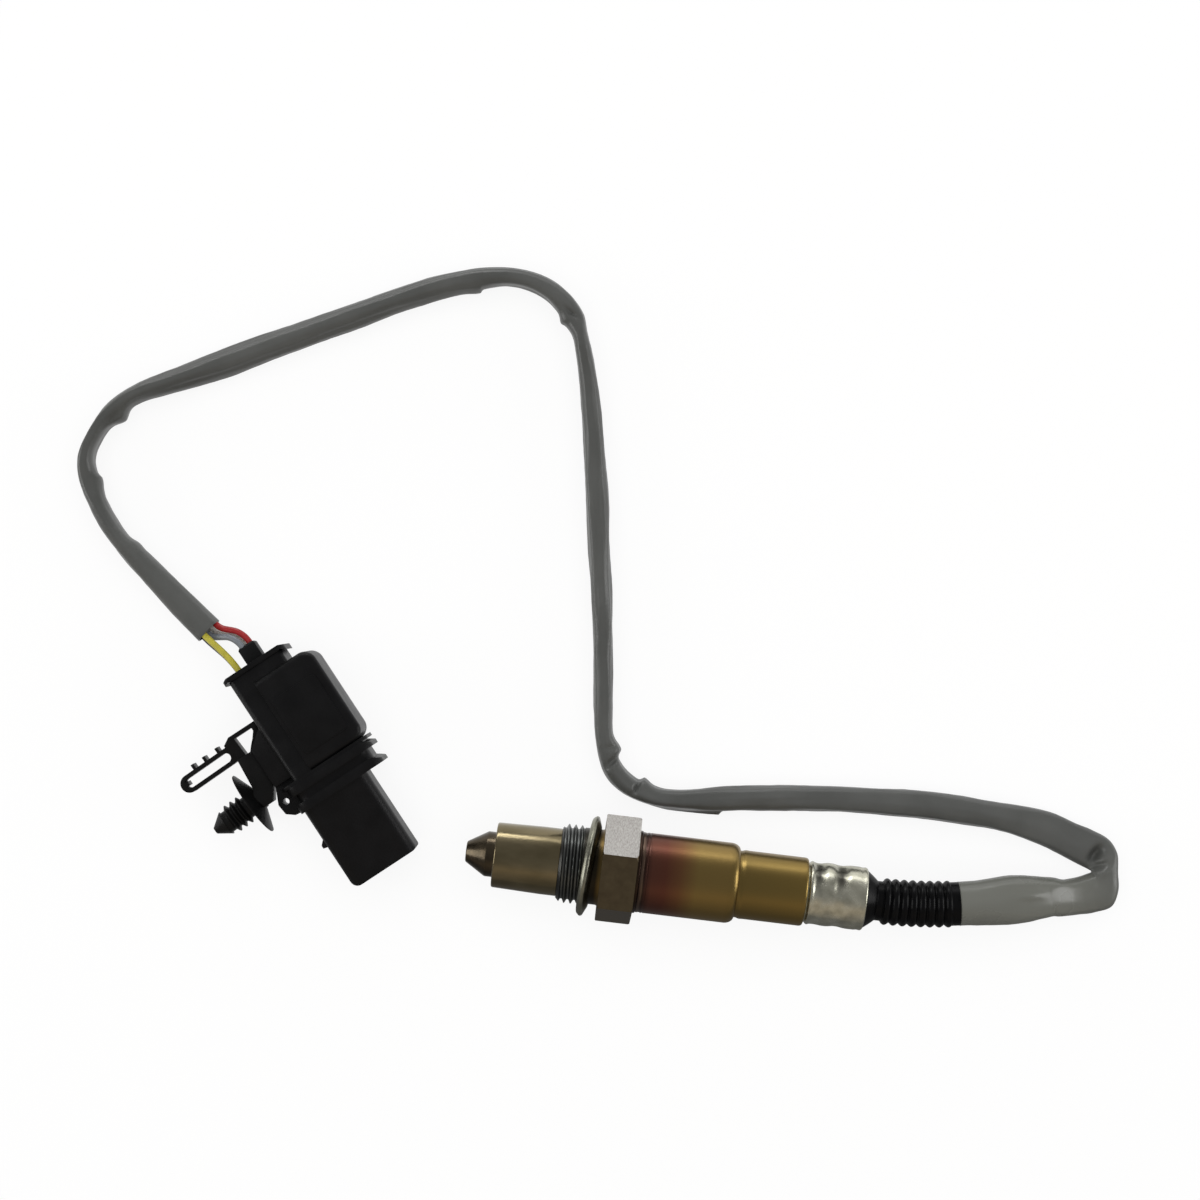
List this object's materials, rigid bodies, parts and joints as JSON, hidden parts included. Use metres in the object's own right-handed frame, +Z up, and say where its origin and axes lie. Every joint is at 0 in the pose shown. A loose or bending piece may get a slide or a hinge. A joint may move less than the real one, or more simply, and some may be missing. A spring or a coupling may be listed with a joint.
{
  "type": "oxygen sensor",
  "caption": "Screw-in exhaust oxygen sensor: threaded hexagon housing with a loose sealing ring, shielded tip, ribbed boot and a long sleeved cable ending in a keyed plug with a clip.",
  "frame": {"origin": "on the sensor's axis in the plane of the hexagon's front face, where the sealing ring seats", "axes": "+X along the sensor's axis from its tip towards the cable, +Z up from the surface it lies on, +Y towards the side the cable loops round"},
  "size_m": [0.252, 0.1479, 0.024],
  "materials": {
    "housing_steel": "bright turned steel",
    "gasket_steel": "satin folded steel",
    "tube_steel": "drawn steel with a faint olive tint",
    "ceramic_white": "matt white ceramic",
    "talc": "pressed powder",
    "shield_steel": "drawn steel, bronze heat tint",
    "spring_steel": "spring temper strip",
    "crimp_steel": "bright satin steel",
    "grommet_rubber": "matt fluororubber",
    "boot_rubber": "satin black rubber",
    "lead_insulation": "smooth insulation",
    "sleeve_grey": "soft satin grey sleeve",
    "connector_plastic": "fine moulded black",
    "guide_plastic": "moulded black",
    "seal_rubber": "soft silicone",
    "tinned_brass": "tinned",
    "lock_plastic": "moulded",
    "board": "glass-filled board",
    "clip_plastic": "satin moulded black",
    "insulation_red": "satin insulation",
    "insulation_white": "satin insulation",
    "insulation_grey": "satin insulation",
    "insulation_yellow": "satin insulation",
    "insulation_black": "satin insulation"
  },
  "bodies": {
    "root": {"housing": "housing_steel", "sealing_ring": "gasket_steel", "outer_protection_tube": "tube_steel", "inner_protection_tube": "tube_steel", "sensing_element": "ceramic_white", "front_ceramic": "ceramic_white", "talc_seal": "talc", "rear_ceramic": "ceramic_white", "shield_tube": "shield_steel", "contact_holder_upper": "ceramic_white", "contact_holder_lower": "ceramic_white", "holder_spring": "spring_steel", "contact_springs": "spring_steel", "crimp_sleeve": "crimp_steel", "wire_grommet": "grommet_rubber", "corrugated_boot": "boot_rubber", "sensor_leads": "lead_insulation", "cable_sleeve": "sleeve_grey", "connector_housing": "connector_plastic", "terminal_cover": "connector_plastic", "rear_cap": "connector_plastic", "wire_guide": "guide_plastic", "wire_seal": "seal_rubber", "terminal_pins": "tinned_brass", "secondary_lock": "lock_plastic", "interface_seal": "seal_rubber", "trim_resistor": "board", "mounting_clip": "clip_plastic", "wire_red": "insulation_red", "wire_white": "insulation_white", "wire_grey": "insulation_grey", "wire_yellow": "insulation_yellow", "wire_black": "insulation_black"}
  },
  "joints": []
}
